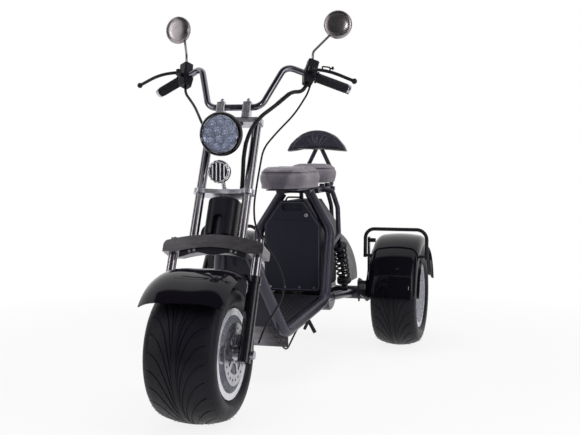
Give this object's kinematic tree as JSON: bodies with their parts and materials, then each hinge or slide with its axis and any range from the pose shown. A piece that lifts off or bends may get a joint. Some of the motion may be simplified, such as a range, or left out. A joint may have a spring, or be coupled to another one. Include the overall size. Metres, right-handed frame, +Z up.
{
  "type": "electric tricycle",
  "caption": "Chopper-style electric tricycle with a long fork, wide bars, flat foot well, battery box, two saddles, a backrest and fendered rear wheels.",
  "frame": {"origin": "on the ground, midway between the outermost points of the vehicle across and along", "axes": "+Z up, -Y towards the front, +X towards the rider's left"},
  "size_m": [1.009, 1.9027, 1.3173],
  "materials": {
    "tyre": "matt",
    "rim_metal": "polished",
    "chrome": "polished",
    "frame_paint": "satin",
    "black_paint": "gloss",
    "pewter_paint": "satin",
    "bright_metal": "satin",
    "steel": "brushed",
    "black_plastic": "matt",
    "box_plastic": "matt",
    "gloss_black": "gloss",
    "rubber": "matt",
    "seat_leather": "satin",
    "dark_leather": "satin",
    "lamp_red": "gloss",
    "cable": "matt"
  },
  "bodies": {
    "frame": {"head_tube": "frame_paint", "frame_rail_left": "frame_paint", "frame_rail_right": "frame_paint", "head_cover": "black_plastic", "floor_pan": "pewter_paint", "floor_mat": "rubber", "front_panel": "box_plastic", "battery_cover": "box_plastic", "battery_case": "box_plastic", "battery_handle": "black_plastic", "seat_frame": "frame_paint", "driver_saddle": "seat_leather", "passenger_saddle": "seat_leather", "backrest_pad": "dark_leather", "backrest_stay": "frame_paint", "swing_arm": "frame_paint", "rear_axle": "frame_paint", "rear_shocks": "black_paint", "rear_fender_left": "gloss_black", "rear_fender_right": "gloss_black", "fender_guards": "black_paint", "fender_brackets": "black_paint", "tail_lights": "lamp_red", "rear_mudguard": "black_plastic", "rear_hoop": "frame_paint", "rail_brackets": "black_paint", "rear_brake_line": "cable"},
    "steering": {"fork_tubes": "chrome", "fork_bridge": "pewter_paint", "top_yoke": "bright_metal", "bar_clamp": "bright_metal", "handlebar": "chrome", "grips": "rubber", "switch_housings": "black_plastic", "levers": "chrome", "mirrors": "chrome", "headlight": "gloss_black", "horn": "chrome", "fork_legs": "black_paint", "front_axle": "steel", "brake_caliper": "steel", "front_fender": "gloss_black", "control_looms": "cable", "brake_hose": "cable"},
    "front_wheel": {"front_tyre": "tyre", "front_rim": "rim_metal", "front_brake_disc": "steel"},
    "rear_wheel_left": {"rear_tyre_left": "tyre", "rear_rim_left": "rim_metal"},
    "rear_wheel_right": {"rear_tyre_right": "tyre", "rear_rim_right": "rim_metal"}
  },
  "joints": [
    {"name": "steering_turn", "type": "hinge", "parent": "frame", "child": "steering", "pos_m": [0, -0.71416, 0.20783], "axis": [0, 0.4067, 0.9135], "range_deg": [-35, 35]},
    {"name": "front_wheel_spin", "type": "hinge", "parent": "steering", "child": "front_wheel", "pos_m": [0, -0.737, 0.218], "axis": [1, 0, 0], "continuous": true},
    {"name": "rear_left_spin", "type": "hinge", "parent": "frame", "child": "rear_wheel_left", "pos_m": [0.365, 0.693, 0.218], "axis": [1, 0, 0], "continuous": true},
    {"name": "rear_right_spin", "type": "hinge", "parent": "frame", "child": "rear_wheel_right", "pos_m": [-0.365, 0.693, 0.218], "axis": [1, 0, 0], "continuous": true}
  ]
}
